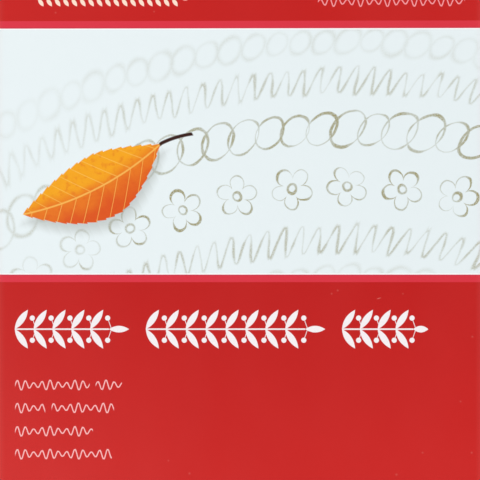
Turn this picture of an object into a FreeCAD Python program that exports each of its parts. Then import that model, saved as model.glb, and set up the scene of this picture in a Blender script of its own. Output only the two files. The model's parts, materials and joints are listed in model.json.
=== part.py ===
"""A head-bound writing pad: plain leaves gummed along the head, a board at the back and a card cover.

The pad lies on its back. X runs across the width, +Y points to the gummed head and +Z up.
The origin is the middle of the footprint, on the surface that the pad rests on.
Sizes are in millimetres.
"""

import FreeCAD, Part
import math
import os
import Sketcher

FAULT_STATES = ("Invalid", "Error")

# Alias, value and meaning of each driving dimension.
DRIVING_SIZES = (
    ("pad_width", 135.0, "trimmed width of cover, leaves and board"),
    ("pad_length", 178.0, "trimmed length, head to tail"),
    ("leaf_count", 50, "writing leaves in the block"),
    ("leaf_thickness", 0.1, "one leaf of 80 gram paper"),
    ("board_thickness", 1.0, "grey backing board"),
    ("card_thickness", 0.28, "printed cover card"),
    ("gum_thickness", 0.15, "dried gum on the head of the block"),
    ("tuck_length", 20.0, "cover card turned in under the board"),
    ("side_scatter", 0.12, "deepest a leaf lies behind the trimmed sides"),
    ("tail_scatter", 0.1, "deepest a leaf lies behind the trimmed tail"),
    ("crease_gap", 0.05, "running clearance under the cover's crease"),
)

# Places worked out from the driving dimensions, as expressions on the sheet.
HALF_WIDTH = "sizes.pad_width / 2"
HEAD = "sizes.pad_length / 2"
TAIL = "-sizes.pad_length / 2"
BINDING_INSIDE = f"({HEAD} - sizes.card_thickness)"
BLOCK_HEAD = f"({BINDING_INSIDE} - sizes.gum_thickness)"
BLOCK_LENGTH = f"({BLOCK_HEAD} + {HEAD})"
BOARD_BASE = "sizes.card_thickness"
BLOCK_BASE = f"({BOARD_BASE} + sizes.board_thickness)"
BLOCK_TOP = f"({BLOCK_BASE} + sizes.leaf_count * sizes.leaf_thickness)"
CREASE_Y = f"({HEAD} - sizes.card_thickness / 2)"
TUCK_END = f"({HEAD} - sizes.tuck_length)"
WALL_TOP = f"({BLOCK_TOP} - sizes.crease_gap)"

# The trimmed leaves scatter by a fixed irregular rule: turns per leaf of a sine.
LEFT_SCATTER_TURNS = 0.381
RIGHT_SCATTER_TURNS = 0.274
TAIL_SCATTER_TURNS = 0.437

# The two ends of a line or arc, the axis along a sketch's first direction, and its origin.
START, END = 1, 2
FIRST_AXIS = -1
ORIGIN_POINT = (FIRST_AXIS, START)


def make_sizes(document):
    """Writes the driving dimensions to a spreadsheet and returns it."""
    sheet = document.addObject("Spreadsheet::Sheet", "sizes")
    for row, (alias, value, meaning) in enumerate(DRIVING_SIZES, start=1):
        sheet.set(f"A{row}", alias)
        sheet.set(f"B{row}", str(value))
        sheet.setAlias(f"B{row}", alias)
        sheet.set(f"C{row}", meaning)
    document.recompute()
    return sheet


def make_body(document, label):
    """Adds a body whose label names its file."""
    body = document.addObject("PartDesign::Body", label)
    body.Label = label
    return body


def origin_plane(body, role):
    """The body's own origin plane with that role, such as YZ_Plane."""
    return next(feature for feature in body.Origin.OriginFeatures if feature.Role == role)


def make_sketch(body, name, role):
    """Adds a sketch on one of the body's own origin planes."""
    sketch = body.newObject("Sketcher::SketchObject", name)
    sketch.AttachmentSupport = [(origin_plane(body, role), "")]
    sketch.MapMode = "FlatFace"
    return sketch


def values_of(sketch, *expressions):
    """The values that expressions on the sheet have now, to draw a sketch at its true place."""
    return [float(sketch.evalExpression(expression)) for expression in expressions]


def bind(sketch, kind, places, name, expression):
    """Adds a named dimension to a sketch and binds it to an expression on the sheet."""
    (value,) = values_of(sketch, expression)
    index = sketch.addConstraint(Sketcher.Constraint(kind, *places, value))
    sketch.renameConstraint(index, name)
    sketch.setExpression(f"Constraints.{name}", expression)


def place_lines(sketch, points):
    """Draws straight lines through points, each joined to the next, and returns their numbers."""
    lines = []
    for begin, end in zip(points, points[1:]):
        segment = Part.LineSegment(FreeCAD.Vector(*begin, 0), FreeCAD.Vector(*end, 0))
        lines.append(sketch.addGeometry(segment))
    for line, following in zip(lines, lines[1:]):
        sketch.addConstraint(Sketcher.Constraint("Coincident", line, END, following, START))
    return lines


def place_arc(sketch, centre, radius, first_degrees, last_degrees):
    """Draws an arc, counter-clockwise from the first angle to the last, and returns its number."""
    circle = Part.Circle(FreeCAD.Vector(*centre, 0), FreeCAD.Vector(0, 0, 1), radius)
    arc = Part.ArcOfCircle(circle, math.radians(first_degrees), math.radians(last_degrees))
    return sketch.addGeometry(arc)


def pad_across(body, sketch, name):
    """Extrudes a section to both sides of the middle plane, over the pad's whole width."""
    pad = body.newObject("PartDesign::Pad", name)
    pad.Profile = sketch
    pad.SideType = "Symmetric"
    pad.setExpression("Length", "sizes.pad_width")
    body.Tip = pad
    return pad


def make_back_board(document):
    """A flat rectangle of grey board, cut flush with the leaves."""
    body = make_body(document, "back_board")
    sketch = make_sketch(body, "board_outline", "XY_Plane")
    right, tail, head = values_of(sketch, HALF_WIDTH, TAIL, BLOCK_HEAD)
    left = -right
    corners = [(left, tail), (right, tail), (right, head), (left, head), (left, tail)]
    foot, side, top, other_side = place_lines(sketch, corners)
    sketch.addConstraint(Sketcher.Constraint("Coincident", other_side, END, foot, START))
    for line in (foot, top):
        sketch.addConstraint(Sketcher.Constraint("Horizontal", line))
    for line in (side, other_side):
        sketch.addConstraint(Sketcher.Constraint("Vertical", line))
    bind(sketch, "DistanceX", (foot, START, foot, END), "width", "sizes.pad_width")
    bind(sketch, "DistanceY", (side, START, side, END), "length", BLOCK_LENGTH)
    bind(sketch, "DistanceX", (*ORIGIN_POINT, foot, END), "right_edge", HALF_WIDTH)
    bind(sketch, "DistanceY", (foot, END, *ORIGIN_POINT), "tail_edge", HEAD)
    pad = body.newObject("PartDesign::Pad", "board_slab")
    pad.Profile = sketch
    pad.setExpression("Length", "sizes.board_thickness")
    body.Tip = pad
    body.setExpression("Placement.Base.z", BOARD_BASE)
    return body


def scatter(leaf, turns_per_leaf):
    """A share from 0 to 1 that wanders from leaf to leaf."""
    return round(0.5 + 0.5 * math.sin(2 * math.pi * turns_per_leaf * leaf), 4)


def make_writing_sheets(document, sheet):
    """The block of leaves as one solid: trimmed leaves that scatter a little at the sides and tail."""
    leaves = []
    for leaf in range(int(sheet.leaf_count)):
        left = f"sizes.side_scatter * {scatter(leaf, LEFT_SCATTER_TURNS)}"
        right = f"sizes.side_scatter * {scatter(leaf, RIGHT_SCATTER_TURNS)}"
        tail = f"sizes.tail_scatter * {scatter(leaf, TAIL_SCATTER_TURNS)}"
        slab = document.addObject("Part::Box", f"leaf_{leaf + 1:02d}")
        slab.setExpression("Length", f"sizes.pad_width - {left} - {right}")
        slab.setExpression("Width", f"{BLOCK_LENGTH} - {tail}")
        slab.setExpression("Height", "sizes.leaf_thickness")
        slab.setExpression("Placement.Base.x", f"-{HALF_WIDTH} + {left}")
        slab.setExpression("Placement.Base.y", f"{TAIL} + {tail}")
        slab.setExpression("Placement.Base.z", f"{BLOCK_BASE} + {leaf} * sizes.leaf_thickness")
        leaves.append(slab)
    block = document.addObject("Part::MultiFuse", "writing_sheets")
    block.Label = "writing_sheets"
    block.Shapes = leaves
    block.Refine = True
    return block


def make_padding_gum(document):
    """The dried film of gum that holds the heads of the leaves and the board together."""
    film = document.addObject("Part::Box", "padding_gum")
    film.Label = "padding_gum"
    film.setExpression("Length", "sizes.pad_width")
    film.setExpression("Width", "sizes.gum_thickness")
    film.setExpression("Height", f"{BLOCK_TOP} - {BOARD_BASE}")
    film.setExpression("Placement.Base.x", f"-{HALF_WIDTH}")
    film.setExpression("Placement.Base.y", BLOCK_HEAD)
    film.setExpression("Placement.Base.z", BOARD_BASE)
    return film


def make_cover_binding(document):
    """The cover card's fixed part: up the gummed head, and turned in under the board.

    The fold is pressed sharp inside, and its outside is rounded by the card's thickness.
    """
    body = make_body(document, "cover_binding")
    sketch = make_sketch(body, "binding_section", "YZ_Plane")
    card = "sizes.card_thickness"
    head, top, tuck_end, thick = values_of(sketch, HEAD, WALL_TOP, TUCK_END, card)
    inside = head - thick
    (outer_wall,) = place_lines(sketch, [(head, top), (head, thick)])
    fold = place_arc(sketch, (inside, thick), thick, 270, 360)
    points = [
        (inside, 0),
        (tuck_end, 0),
        (tuck_end, thick),
        (inside, thick),
        (inside, top),
        (head, top),
    ]
    under, tuck_edge, tuck_top, inner_wall, wall_edge = place_lines(sketch, points)
    sketch.addConstraint(Sketcher.Constraint("Coincident", wall_edge, END, outer_wall, START))
    sketch.addConstraint(Sketcher.Constraint("Tangent", outer_wall, END, fold, END))
    sketch.addConstraint(Sketcher.Constraint("Tangent", fold, START, under, START))
    for line in (outer_wall, tuck_edge, inner_wall):
        sketch.addConstraint(Sketcher.Constraint("Vertical", line))
    for line in (under, tuck_top, wall_edge):
        sketch.addConstraint(Sketcher.Constraint("Horizontal", line))
    sketch.addConstraint(Sketcher.Constraint("PointOnObject", under, START, FIRST_AXIS))
    bind(sketch, "Radius", (fold,), "fold_radius", card)
    bind(sketch, "DistanceY", (tuck_edge, START, tuck_edge, END), "tuck_thickness", card)
    bind(sketch, "DistanceX", (wall_edge, START, wall_edge, END), "wall_thickness", card)
    bind(sketch, "DistanceX", (*ORIGIN_POINT, wall_edge, END), "head_face", HEAD)
    bind(sketch, "DistanceX", (*ORIGIN_POINT, tuck_edge, START), "tuck_reach", TUCK_END)
    bind(sketch, "DistanceY", (*ORIGIN_POINT, wall_edge, END), "wall_top", WALL_TOP)
    pad_across(body, sketch, "binding_strip")
    return body


def make_front_cover(document):
    """The cover card's turning part: a flat flap with a half-round crease at the head."""
    body = make_body(document, "front_cover")
    sketch = make_sketch(body, "cover_section", "YZ_Plane")
    card = "sizes.card_thickness"
    crease, base, tail, thick = values_of(sketch, CREASE_Y, BLOCK_TOP, TAIL, card)
    points = [(crease, base + thick), (tail, base + thick), (tail, base), (crease, base)]
    face, tail_edge, underside = place_lines(sketch, points)
    nose = place_arc(sketch, (crease, base + thick / 2), thick / 2, -90, 90)
    sketch.addConstraint(Sketcher.Constraint("Tangent", underside, END, nose, START))
    sketch.addConstraint(Sketcher.Constraint("Tangent", nose, END, face, START))
    for line in (face, underside):
        sketch.addConstraint(Sketcher.Constraint("Horizontal", line))
    sketch.addConstraint(Sketcher.Constraint("Vertical", tail_edge))
    bind(sketch, "DistanceY", (tail_edge, END, tail_edge, START), "thickness", card)
    bind(sketch, "DistanceX", (tail_edge, END, *ORIGIN_POINT), "tail_edge", HEAD)
    bind(sketch, "DistanceY", (*ORIGIN_POINT, tail_edge, END), "underside", BLOCK_TOP)
    bind(sketch, "DistanceX", (*ORIGIN_POINT, underside, END), "crease", CREASE_Y)
    pad_across(body, sketch, "cover_flap")
    return body


def check_objects(document):
    """Stops the build if any object of the document failed to recompute."""
    for item in document.Objects:
        faults = [state for state in item.State if state in FAULT_STATES]
        if faults:
            raise RuntimeError(f"{item.Label} is {', '.join(faults)}")


def export_nodes(nodes):
    """Writes each sub-part to a STEP file named by its label, and prints its size."""
    os.makedirs("parts", exist_ok=True)
    for node in nodes:
        shape = node.Shape
        if shape.isNull() or not shape.isValid():
            raise RuntimeError(f"{node.Label} has no valid shape")
        shape.exportStep(os.path.join("parts", f"{node.Label}.step"))
        print(f"{node.Label}: {len(shape.Solids)} solid, {shape.Volume:.1f} cubic mm")


def main():
    """Builds the pad and writes its sub-parts."""
    document = FreeCAD.newDocument("writing_pad")
    sheet = make_sizes(document)
    nodes = [
        make_back_board(document),
        make_writing_sheets(document, sheet),
        make_padding_gum(document),
        make_cover_binding(document),
        make_front_cover(document),
    ]
    document.recompute()
    check_objects(document)
    export_nodes(nodes)


main()
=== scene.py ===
"""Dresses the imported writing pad: printed cover card, block of leaves, backing board and gum.

The pad lies on its back. X runs across it, +Y points to the gummed head and +Z up. Meshes are in
metres. Sizes of the card and its print are in millimetres, on the card as it was before folding:
across is X, and along is Y on the front, running on over the head and in under the board.
"""

from __future__ import annotations

import json
import logging
import math
from abc import ABC, abstractmethod
from dataclasses import dataclass
from enum import Enum
from functools import reduce
from typing import Union

import bpy
import numpy as np
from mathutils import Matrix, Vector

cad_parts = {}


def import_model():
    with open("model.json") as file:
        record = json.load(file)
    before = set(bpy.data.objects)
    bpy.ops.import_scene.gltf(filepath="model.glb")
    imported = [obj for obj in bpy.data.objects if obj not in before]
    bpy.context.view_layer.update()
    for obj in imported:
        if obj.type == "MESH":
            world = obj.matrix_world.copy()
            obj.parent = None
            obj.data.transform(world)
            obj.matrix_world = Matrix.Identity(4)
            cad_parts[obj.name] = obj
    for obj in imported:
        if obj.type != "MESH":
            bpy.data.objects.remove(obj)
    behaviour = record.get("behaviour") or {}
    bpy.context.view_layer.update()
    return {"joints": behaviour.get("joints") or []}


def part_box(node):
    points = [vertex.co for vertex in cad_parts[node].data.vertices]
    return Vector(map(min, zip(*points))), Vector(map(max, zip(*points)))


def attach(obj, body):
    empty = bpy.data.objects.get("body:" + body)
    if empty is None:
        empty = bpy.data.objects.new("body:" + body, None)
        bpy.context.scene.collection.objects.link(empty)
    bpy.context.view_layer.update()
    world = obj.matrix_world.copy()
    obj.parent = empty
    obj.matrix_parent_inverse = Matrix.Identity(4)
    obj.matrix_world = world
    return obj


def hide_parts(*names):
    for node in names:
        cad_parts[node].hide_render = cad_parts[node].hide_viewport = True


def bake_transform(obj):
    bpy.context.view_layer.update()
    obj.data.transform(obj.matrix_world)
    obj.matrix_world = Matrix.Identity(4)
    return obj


LOG = logging.getLogger("writing_pad")
MM = 0.001
FULL_TURN = 2 * math.pi
FLAT_MAP = "flat_card"
BAKE_MAP = "OFBake"
SMOOTH_BELOW = math.radians(35)

Colour = tuple[float, float, float]
Stretch = tuple[float, float, float]
Place = tuple[float, float]  # across and along the card, in millimetres
Run = tuple[float, float]  # where a change begins and where it is whole
Line = tuple[float, float]  # half its width, and half of its soft border
Room = tuple[float, float]  # where a part of a map begins, and its size, as shares
Number = Union["Tone", float]


def paint(red: int, green: int, blue: int) -> Colour:
    """A screen colour, 0 to 255 a channel, as the linear colour that shaders take."""
    shares = (channel / 255 for channel in (red, green, blue))
    return tuple(s / 12.92 if s <= 0.04045 else ((s + 0.055) / 1.055) ** 2.4 for s in shares)


def ink(red: int, green: int, blue: int, glare: float = 0.0119, least: float = 0.004) -> Colour:
    """A printed colour as it shows under the varnish, less the studio's glare on the varnish."""
    return tuple(max(channel - glare, least) for channel in paint(red, green, blue))


class Tone:
    """A number at each point of a surface, as the output of a chain of nodes."""

    def __init__(self, tree: bpy.types.NodeTree, socket: bpy.types.NodeSocket) -> None:
        """Wraps one output socket of a tree."""
        self.tree = tree
        self.socket = socket

    def math(self, operation: str, *others: Number) -> Tone:
        """Feeds this number and the others to a Math node.

        Args:
            operation: The Math node's operation.
            others: Its second and third inputs.

        Returns:
            The node's result.
        """
        node = self.tree.nodes.new("ShaderNodeMath")
        node.operation = operation
        for socket, given in zip(node.inputs, (self, *others)):
            feed(socket, given)
        return Tone(self.tree, node.outputs[0])

    def rise(self, low: Number, high: Number) -> Tone:
        """Steps smoothly from 0 below low to 1 above high.

        Args:
            low: Where the step begins.
            high: Where it ends.

        Returns:
            The step's height.
        """
        node = self.tree.nodes.new("ShaderNodeMapRange")
        node.interpolation_type = "SMOOTHSTEP"
        for socket, given in zip(node.inputs, (self, low, high)):
            feed(socket, given)
        return Tone(self.tree, node.outputs[0])

    def fall(self, low: Number, high: Number) -> Tone:
        """1 below low and 0 above high, with a smooth step between them."""
        return 1.0 - self.rise(low, high)

    def inside(self, low: float, high: float, soft: float) -> Tone:
        """1 from low to high and 0 outside, with borders that are soft by twice that amount."""
        return self.rise(low - soft, low + soft) * self.fall(high - soft, high + soft)

    def stroke(self, half_width: Number, soft: Number) -> Tone:
        """Reads this number as a distance: 1 within half_width of zero, fading over the soft border."""
        return self.size().fall(half_width - soft, soft + half_width)

    def size(self) -> Tone:
        """This number without its sign."""
        return self.math("ABSOLUTE")

    def root(self) -> Tone:
        """The square root."""
        return self.math("SQRT")

    def sine(self) -> Tone:
        """The sine of this number, in radians."""
        return self.math("SINE")

    def lesser(self, other: Number) -> Tone:
        """The smaller of two."""
        return self.math("MINIMUM", other)

    def reach(self, other: Tone) -> Tone:
        """The distance from the origin: the root of the two numbers' squares added up."""
        return (self * self + other * other).root()

    def clamped(self) -> Tone:
        """This number held between 0 and 1."""
        return self.math("MAXIMUM", 0.0).lesser(1.0)

    def __add__(self, other: Number) -> Tone:
        """The sum."""
        return self.math("ADD", other)

    __radd__ = __add__

    def __sub__(self, other: Number) -> Tone:
        """The difference."""
        return self.math("SUBTRACT", other)

    def __rsub__(self, other: Number) -> Tone:
        """The difference from other."""
        return self.math("MULTIPLY_ADD", -1.0, other)

    def __mul__(self, other: Number) -> Tone:
        """The product."""
        return self.math("MULTIPLY", other)

    __rmul__ = __mul__

    def __truediv__(self, other: Number) -> Tone:
        """The quotient."""
        return self.math("DIVIDE", other)

    def __or__(self, other: Tone) -> Tone:
        """The larger of two, which joins two masks."""
        return self.math("MAXIMUM", other)


def feed(socket: bpy.types.NodeSocket, given: object) -> None:
    """Links a tone or an output to an input socket, or sets a plain value there.

    Args:
        socket: The input socket.
        given: A tone, an output socket, a colour, a vector or a number.
    """
    if isinstance(given, Tone):
        given = given.socket
    if isinstance(given, bpy.types.NodeSocket):
        socket.id_data.links.new(given, socket)
    elif isinstance(given, tuple) and len(socket.default_value) > len(given):
        socket.default_value = (*given, 1.0)
    else:
        socket.default_value = given


def turned(east: Tone, north: Tone, angle: float) -> tuple[Tone, Tone]:
    """Finds a place on axes that are turned counter-clockwise.

    Args:
        east: The place across the card, from the axes' origin.
        north: The place along it.
        angle: The turn, in radians.

    Returns:
        The place along the first axis and along the second.
    """
    cosine, sine = math.cos(angle), math.sin(angle)
    return east * cosine + north * sine, north * cosine - east * sine


def almond(along: Tone, across: Tone, length: float, half_width: float, soft: float) -> Tone:
    """Draws a leaf from the origin along its axis: its edge is a parabola of the share along it.

    Args:
        along: The place along the axis.
        across: The place across it.
        length: The leaf's length.
        half_width: Half its width at the middle.
        soft: How soft its border is.

    Returns:
        The leaf's mask.
    """
    share = along / length
    edge = share * (1.0 - share) * (4 * half_width)
    return (across.size() - edge).fall(-soft, soft)


def wave_gap(off: Tone, turn: Tone, swing: Tone, pitch: float) -> Tone:
    """Measures the distance from a sine wave: the height over the root of 1 plus its slope squared.

    Args:
        off: The height above the wave's middle line.
        turn: The wave's angle at each place, in radians.
        swing: How far it swings.
        pitch: The length of one full wave.

    Returns:
        The distance, above or below 0.
    """
    slope = turn.math("COSINE") * swing * (FULL_TURN / pitch)
    return (off - turn.sine() * swing) / (slope * slope + 1.0).root()


class Colouring:
    """A colour at each point of a surface, built up coat by coat."""

    def __init__(self, tree: bpy.types.NodeTree, ground: Colour) -> None:
        """Starts from one ground colour."""
        self.tree = tree
        self.socket: object = ground

    def coat(self, mask: Tone, colour: Union[Colour, Colouring]) -> Colouring:
        """Lays a colour over what is there, as thick as the mask says.

        Args:
            mask: 0 where nothing is laid and 1 where the new colour covers.
            colour: The new colour.

        Returns:
            This colouring, so that coats can be chained.
        """
        node = self.tree.nodes.new("ShaderNodeMix")
        node.data_type = "RGBA"
        factor, under, over = node.inputs[0], node.inputs[6], node.inputs[7]
        feed(factor, mask)
        feed(under, self.socket)
        feed(over, colour.socket if isinstance(colour, Colouring) else colour)
        self.socket = node.outputs[2]
        return self


@dataclass(frozen=True)
class Grain:
    """Soft blotches: how fine they are, and which part of their noise shows, and how strongly.

    The noise is stepped smoothly from 0 below low to 1 above high, and weighed. A small stretch
    factor draws the blotches out in that direction.
    """

    per_mm: float
    octaves: float
    low: float
    high: float
    weight: float = 1.0
    stretch: Stretch = (1.0, 1.0, 1.0)


class Surface:
    """A material under way, with the coordinates and noises that finishes draw on."""

    def __init__(self, name: str, flat_map: bool = False) -> None:
        """Makes an empty material whose places are in millimetres.

        Args:
            name: The material's name.
            flat_map: True to read the card's flat map, False to read the object's own coordinates.
        """
        self.material = bpy.data.materials.new(name)
        self.material.use_nodes = True
        self.tree = self.material.node_tree
        self.shader = next(n for n in self.tree.nodes if n.type == "BSDF_PRINCIPLED")
        scale = self.tree.nodes.new("ShaderNodeVectorMath")
        scale.operation = "SCALE"
        if flat_map:
            source = self.tree.nodes.new("ShaderNodeUVMap")
            source.uv_map = FLAT_MAP
            feed(scale.inputs[0], source.outputs[0])
            feed(scale.inputs["Scale"], 1.0)
        else:
            source = self.tree.nodes.new("ShaderNodeTexCoord")
            feed(scale.inputs[0], source.outputs["Object"])
            feed(scale.inputs["Scale"], 1 / MM)
        self.place = scale.outputs[0]
        split = self.tree.nodes.new("ShaderNodeSeparateXYZ")
        feed(split.inputs[0], self.place)
        self.x, self.y, self.z = (Tone(self.tree, socket) for socket in split.outputs)

    def noise(self, per_mm: float, octaves: float, stretch: Stretch = (1.0, 1.0, 1.0)) -> Tone:
        """Makes soft noise from about 0 to 1.

        Args:
            per_mm: Its blotches to a millimetre.
            octaves: How many finer noises it adds up.
            stretch: Factors on the three directions; a small one draws the noise out that way.

        Returns:
            The noise.
        """
        place = self.tree.nodes.new("ShaderNodeMapping")
        feed(place.inputs["Vector"], self.place)
        feed(place.inputs["Scale"], stretch)
        node = self.tree.nodes.new("ShaderNodeTexNoise")
        feed(node.inputs["Vector"], place.outputs[0])
        feed(node.inputs["Scale"], per_mm)
        feed(node.inputs["Detail"], octaves)
        return Tone(self.tree, node.outputs[0])

    def grain(self, grain: Grain) -> Tone:
        """How strongly a grain shows at each place, from 0 to its weight."""
        noise = self.noise(grain.per_mm, grain.octaves, grain.stretch)
        return noise.rise(grain.low, grain.high) * grain.weight

    def dice(self, number: Tone) -> Tone:
        """Draws a number from 0 to 1 that is fixed for each value of another.

        Args:
            number: The value that is drawn for, such as a leaf's count.

        Returns:
            The number drawn.
        """
        node = self.tree.nodes.new("ShaderNodeTexWhiteNoise")
        node.noise_dimensions = "1D"
        feed(node.inputs["W"], number)
        return Tone(self.tree, node.outputs[0])

    def set(self, **inputs: object) -> None:
        """Sets or links the shader's inputs, whose names are given with _ for each space."""
        for name, given in inputs.items():
            feed(self.shader.inputs[name.replace("_", " ")], given)

    def bump(self, height: Tone, depth_mm: float) -> None:
        """Lets a height tilt the surface.

        Args:
            height: The height at each place, from 0 to about 1.
            depth_mm: How deep 1 is, in millimetres.
        """
        node = self.tree.nodes.new("ShaderNodeBump")
        feed(node.inputs["Distance"], depth_mm * MM)
        feed(node.inputs["Height"], height)
        feed(self.shader.inputs["Normal"], node.outputs[0])


@dataclass(frozen=True)
class Garland:
    """A printed stem with pairs of slanted almond leaves and a leaf at its end, and berries between."""

    left: float
    right: float
    middle: float
    pairs: int
    leaf_length: float = 6.5
    leaf_half_width: float = 0.92
    tip_length: float = 5.6
    berry_radius: float = 0.72
    berry_out: float = 3.1
    berry_along: float = 0.93
    berry_stalk_lean: float = 0.35
    berry_stalk_half_width: float = 0.09
    lean: float = math.radians(56)
    stem_half_width: float = 0.2
    soft: float = 0.09

    @property
    def pitch(self) -> float:
        """The room that each pair has along the stem."""
        return (self.right - self.left - self.tip_length) / self.pairs

    def has(self, number: Tone) -> Tone:
        """1 where a whole number is that of one of the pairs."""
        return number.inside(-0.5, self.pairs - 0.5, 0.1)


@dataclass(frozen=True)
class Tendril:
    """A fine printed wave from left to right about a middle line, which swells and shrinks."""

    left: float
    right: float
    middle: float
    rise: float = 1.3
    pitch: float = 2.3
    swell: float = 0.28
    swell_pitch: float = 7.9
    half_width: float = 0.15
    soft: float = 0.1


class Press:
    """Draws the print's shapes as masks on the flat card. Each mask is 1 where a shape is."""

    def __init__(self, surface: Surface) -> None:
        """Takes the surface that is printed."""
        self.surface = surface
        self.x, self.y = surface.x, surface.y

    def band(self, low: float, high: float, soft: float = 0.08, tilt: float = 0.0) -> Tone:
        """A band across the card, which climbs by tilt for each millimetre to the right."""
        height = self.y - self.x * tilt if tilt else self.y
        return height.inside(low, high, soft)

    def window(self, low: float, high: float, soft: float, tilt: float) -> Tone:
        """A band whose lower border is level and whose upper border climbs by tilt."""
        below_top = (self.y - self.x * tilt).fall(high - soft, high + soft)
        return self.y.rise(low - soft, low + soft) * below_top

    def garland(self, garland: Garland) -> Tone:
        """Repeats a pair of leaves along a stem, and ends in a leaf that lies in line with it.

        The place along the stem, in pitches, has the pair's number as its whole part. A leaf
        reaches past its own pitch, so each place tests its own pair and the one before it.

        Args:
            garland: The garland's places and sizes.

        Returns:
            Its mask.
        """
        pitch, soft, half_width = garland.pitch, garland.soft, garland.leaf_half_width
        along, across = self.x - garland.left, self.y - garland.middle
        mirrored = across.size()
        end = garland.pairs * pitch
        mask = across.stroke(garland.stem_half_width, soft) * along.inside(0.0, end, soft)
        number = (along / pitch).math("FLOOR")
        for before in (0.0, 1.0):
            own = number - before
            axes = turned(along - own * pitch, mirrored, garland.lean)
            mask = mask | almond(*axes, garland.leaf_length, half_width, soft) * garland.has(own)
        mask = mask | almond(along - end, across, garland.tip_length, half_width, soft)
        return mask | self.berries(garland, along, mirrored) if garland.berry_radius else mask

    def berries(self, garland: Garland, along: Tone, mirrored: Tone) -> Tone:
        """Draws a round berry on a slanted stalk at each side of the stem, after each pair.

        Args:
            garland: The garland that bears them.
            along: The place along its stem.
            mirrored: The distance from its stem.

        Returns:
            The mask of berries and stalks.
        """
        pitch, soft, radius = garland.pitch, garland.soft, garland.berry_radius
        nearest = (along / pitch - (garland.berry_along - 0.5)).math("FLOOR")
        side = along - (nearest + garland.berry_along) * pitch
        out = mirrored - garland.berry_out
        round_part = side.reach(out).fall(radius - soft, radius + soft)
        stalk = (side + out * garland.berry_stalk_lean).stroke(garland.berry_stalk_half_width, soft)
        return (round_part | stalk * mirrored.inside(0.0, garland.berry_out, soft)) * garland.has(nearest)

    def tendril(self, tendril: Tendril) -> Tone:
        """Draws a wave line whose swing is itself a slow wave.

        Args:
            tendril: The line's places and sizes.

        Returns:
            Its mask.
        """
        turn = (self.x - tendril.left) * (FULL_TURN / tendril.pitch)
        slow = (self.x * (FULL_TURN / tendril.swell_pitch)).sine()
        swing = slow * (tendril.rise * tendril.swell) + tendril.rise * (1 - tendril.swell)
        gap = wave_gap(self.y - tendril.middle, turn, swing, tendril.pitch)
        line = gap.stroke(tendril.half_width, tendril.soft)
        return line * self.x.inside(tendril.left, tendril.right, tendril.soft)

    def speck(self, x: float, y: float, radius: float) -> Tone:
        """A round grain: 1 at its middle, falling with the squared distance."""
        across, along = self.x - x, self.y - y
        return (across * across + along * along).fall(0.0, radius * radius)


class Motif(Enum):
    """What a drawn row of the panel is made of."""

    WAVES = "slanted strokes to and fro"
    OVALS = "overlapping ovals"
    FLOWERS = "five-petalled flowers"


@dataclass(frozen=True)
class DrawnRow:
    """One drawn row of the panel, on an arc about the panel's far centre."""

    motif: Motif
    height: float
    size: float
    pitch: float
    strength: float
    soft: float
    lean: float = 0.35
    swing_least: float = 0.55
    swing_spread: float = 0.9
    oval_least: float = 0.88
    oval_spread: float = 0.24
    oval_height: float = 1.1
    petals: int = 5
    petal_fullness: float = 0.6
    petal_base: float = 0.42
    petal_reach: float = 0.55
    eye: float = 0.2

    def gap(self, press: Press, along: Tone, off: Tone) -> Tone:
        """Measures the distance of each place from the row's drawn line.

        Args:
            press: What draws the row.
            along: The place along the row.
            off: The place across it, from its middle line.

        Returns:
            The distance from the line, by the row's motif.
        """
        motifs = {Motif.WAVES: self.waves, Motif.OVALS: self.ovals, Motif.FLOWERS: self.flowers}
        return motifs[self.motif](press, along, off)

    def waves(self, press: Press, along: Tone, off: Tone) -> Tone:
        """Draws a slanted sine wave whose swing wanders with soft noise.

        Args:
            press: What draws the row.
            along: The place along the row.
            off: The place across it.

        Returns:
            The distance from the wave.
        """
        turn = (along - off * self.lean) * (FULL_TURN / self.pitch)
        least, spread = self.swing_least * self.size, self.swing_spread * self.size
        swing = press.surface.noise(0.1, 1.0) * spread + least
        return wave_gap(off, turn, swing, self.pitch)

    def ovals(self, press: Press, along: Tone, off: Tone) -> Tone:
        """Draws slanted ovals that overlap: the nearest of three neighbours counts.

        Each oval has a size of its own. The distance from it is the root of the two squared
        shares of its half axes, less 1, times the row's size.

        Args:
            press: What draws the row.
            along: The place along the row.
            off: The place across it.

        Returns:
            The distance from the nearest oval's line.
        """
        number = (along / self.pitch).math("ROUND")
        gaps = []
        for neighbour in (-1.0, 0.0, 1.0):
            ring = number + neighbour
            luck = press.surface.dice(ring) * self.oval_spread + self.oval_least
            side = (along - ring * self.pitch - off * self.lean) / (luck * self.size)
            rise = off / (luck * self.size * self.oval_height)
            gaps.append(((side.reach(rise) - 1.0) * self.size).size())
        return reduce(Tone.lesser, gaps)

    def flowers(self, press: Press, along: Tone, off: Tone) -> Tone:
        """Draws flowers with a round eye, each turned by its own luck.

        The petals' outline has as its radius a base plus a power of the sine of half as many
        turns as there are petals.

        Args:
            press: What draws the row.
            along: The place along the row.
            off: The place across it.

        Returns:
            The distance from the nearest flower's outline or eye.
        """
        number = (along / self.pitch).math("ROUND")
        side = along - number * self.pitch
        reach = side.reach(off)
        angle = off.math("ARCTAN2", side) + press.surface.dice(number) * FULL_TURN
        petals = (angle * (self.petals / 2)).sine().size().math("POWER", self.petal_fullness)
        bloom = reach - (petals * self.petal_reach + self.petal_base) * self.size
        return bloom.size().lesser((reach - self.eye * self.size).size())


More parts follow.
